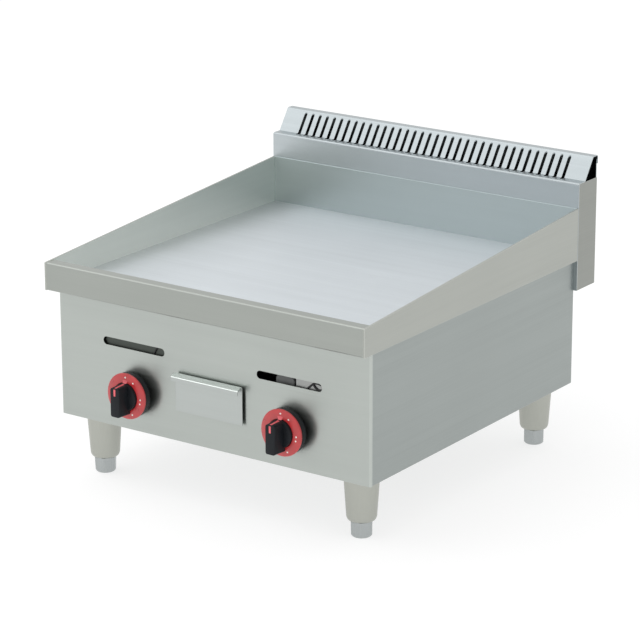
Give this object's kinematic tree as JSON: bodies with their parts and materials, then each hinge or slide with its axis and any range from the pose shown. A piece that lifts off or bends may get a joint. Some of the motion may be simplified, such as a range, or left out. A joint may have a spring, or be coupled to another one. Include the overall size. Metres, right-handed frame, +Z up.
{
  "type": "flat top griddle",
  "caption": "Counter-top gas griddle: steel plate with splash guards, rear flue vent, red-ringed control knobs, grease drawer and adjustable feet.",
  "frame": {"origin": "on the floor, under the middle of the box round the griddle", "axes": "+X to the user's right, +Y from the knobs to the flue box, +Z up"},
  "size_m": [0.6, 0.688, 0.4725],
  "materials": {
    "plate": "fine ground cooking steel, soft satin sheen",
    "steel": "brushed stainless sheet, fine straight grain",
    "chamber_steel": "heat-dulled mild and stainless steel",
    "bracket_steel": "plain bright sheet",
    "brass_fittings": "machined brass",
    "pipe_steel": "zinc-plated steel",
    "foot_steel": "pressed stainless sleeve, satin",
    "foot_cast": "plated steel hexagon, satin",
    "knob_black": "black moulded heat-proof plastic, satin",
    "dial_red": "red printed dial ring, semi-gloss"
  },
  "bodies": {
    "root": {"griddle_plate": "plate", "front_apron": "steel", "left_splash": "steel", "right_splash": "steel", "rear_splash": "steel", "flue_cover": "steel", "flue_left_side": "steel", "flue_right_side": "steel", "flue_back": "steel", "flue_floor": "steel", "front_panel": "steel", "left_side_panel": "steel", "right_side_panel": "steel", "rear_panel": "steel", "base_pan": "steel", "heat_shield": "chamber_steel", "left_heat_wall": "chamber_steel", "right_heat_wall": "chamber_steel", "burner_rail": "chamber_steel", "left_burner": "chamber_steel", "right_burner": "chamber_steel", "left_pilot": "chamber_steel", "right_pilot": "chamber_steel", "drain_chute": "chamber_steel", "left_drawer_guide": "chamber_steel", "right_drawer_guide": "chamber_steel", "left_pilot_bracket": "bracket_steel", "right_pilot_bracket": "bracket_steel", "left_injector": "brass_fittings", "right_injector": "brass_fittings", "supply_tubes": "brass_fittings", "left_tap_body": "brass_fittings", "right_tap_body": "brass_fittings", "manifold_pipe": "pipe_steel", "inlet_elbow": "pipe_steel", "gas_inlet_pipe": "pipe_steel", "foot_bolts": "pipe_steel", "panel_screws": "pipe_steel", "front_left_sleeve": "foot_steel", "front_right_sleeve": "foot_steel", "rear_left_sleeve": "foot_steel", "rear_right_sleeve": "foot_steel"},
    "drawer": {"drawer_box": "steel", "drawer_front": "steel"},
    "left_plug": {"left_tap_plug": "brass_fittings"},
    "right_plug": {"right_tap_plug": "brass_fittings"},
    "left_knob": {"left_stem": "brass_fittings", "left_knob": "knob_black", "left_dial_ring": "dial_red"},
    "right_knob": {"right_stem": "brass_fittings", "right_knob": "knob_black", "right_dial_ring": "dial_red"},
    "front_left_stud": {"front_left_stud": "foot_cast"},
    "front_left_foot": {"front_left_foot": "foot_cast"},
    "front_right_stud": {"front_right_stud": "foot_cast"},
    "front_right_foot": {"front_right_foot": "foot_cast"},
    "rear_left_stud": {"rear_left_stud": "foot_cast"},
    "rear_left_foot": {"rear_left_foot": "foot_cast"},
    "rear_right_stud": {"rear_right_stud": "foot_cast"},
    "rear_right_foot": {"rear_right_foot": "foot_cast"}
  },
  "joints": [
    {"name": "drawer_slide", "type": "slide", "parent": "root", "child": "drawer", "axis": [0, -1, 0], "range_m": [0, 0.3]},
    {"name": "left_tap_turn", "type": "hinge", "parent": "root", "child": "left_plug", "pos_m": [-0.147, -0.294, 0.163], "axis": [0, -1, 0], "range_deg": [0, 160]},
    {"name": "left_knob_push", "type": "slide", "parent": "left_plug", "child": "left_knob", "axis": [0, 1, 0], "range_m": [0, 0.004], "stiffness_N_per_m": 2000, "springref_m": -0.002},
    {"name": "right_tap_turn", "type": "hinge", "parent": "root", "child": "right_plug", "pos_m": [0.147, -0.294, 0.163], "axis": [0, -1, 0], "range_deg": [0, 160]},
    {"name": "right_knob_push", "type": "slide", "parent": "right_plug", "child": "right_knob", "axis": [0, 1, 0], "range_m": [0, 0.004], "stiffness_N_per_m": 2000, "springref_m": -0.002},
    {"name": "front_left_foot_rise", "type": "slide", "parent": "root", "child": "front_left_stud", "axis": [0, 0, -1], "range_m": [0, 0.021]},
    {"name": "front_left_foot_turn", "type": "hinge", "parent": "front_left_stud", "child": "front_left_foot", "pos_m": [-0.2465, -0.248, 0], "axis": [0, 0, 1], "range_deg": [0, 4320]},
    {"name": "front_right_foot_rise", "type": "slide", "parent": "root", "child": "front_right_stud", "axis": [0, 0, -1], "range_m": [0, 0.021]},
    {"name": "front_right_foot_turn", "type": "hinge", "parent": "front_right_stud", "child": "front_right_foot", "pos_m": [0.2465, -0.248, 0], "axis": [0, 0, 1], "range_deg": [0, 4320]},
    {"name": "rear_left_foot_rise", "type": "slide", "parent": "root", "child": "rear_left_stud", "axis": [0, 0, -1], "range_m": [0, 0.021]},
    {"name": "rear_left_foot_turn", "type": "hinge", "parent": "rear_left_stud", "child": "rear_left_foot", "pos_m": [-0.2465, 0.251, 0], "axis": [0, 0, 1], "range_deg": [0, 4320]},
    {"name": "rear_right_foot_rise", "type": "slide", "parent": "root", "child": "rear_right_stud", "axis": [0, 0, -1], "range_m": [0, 0.021]},
    {"name": "rear_right_foot_turn", "type": "hinge", "parent": "rear_right_stud", "child": "rear_right_foot", "pos_m": [0.2465, 0.251, 0], "axis": [0, 0, 1], "range_deg": [0, 4320]}
  ],
  "couplings": [
    {"joint": "front_left_foot_turn", "follows": "front_left_foot_rise", "rad_per_m": 3590.4},
    {"joint": "front_right_foot_turn", "follows": "front_right_foot_rise", "rad_per_m": 3590.4},
    {"joint": "rear_left_foot_turn", "follows": "rear_left_foot_rise", "rad_per_m": 3590.4},
    {"joint": "rear_right_foot_turn", "follows": "rear_right_foot_rise", "rad_per_m": 3590.4}
  ]
}
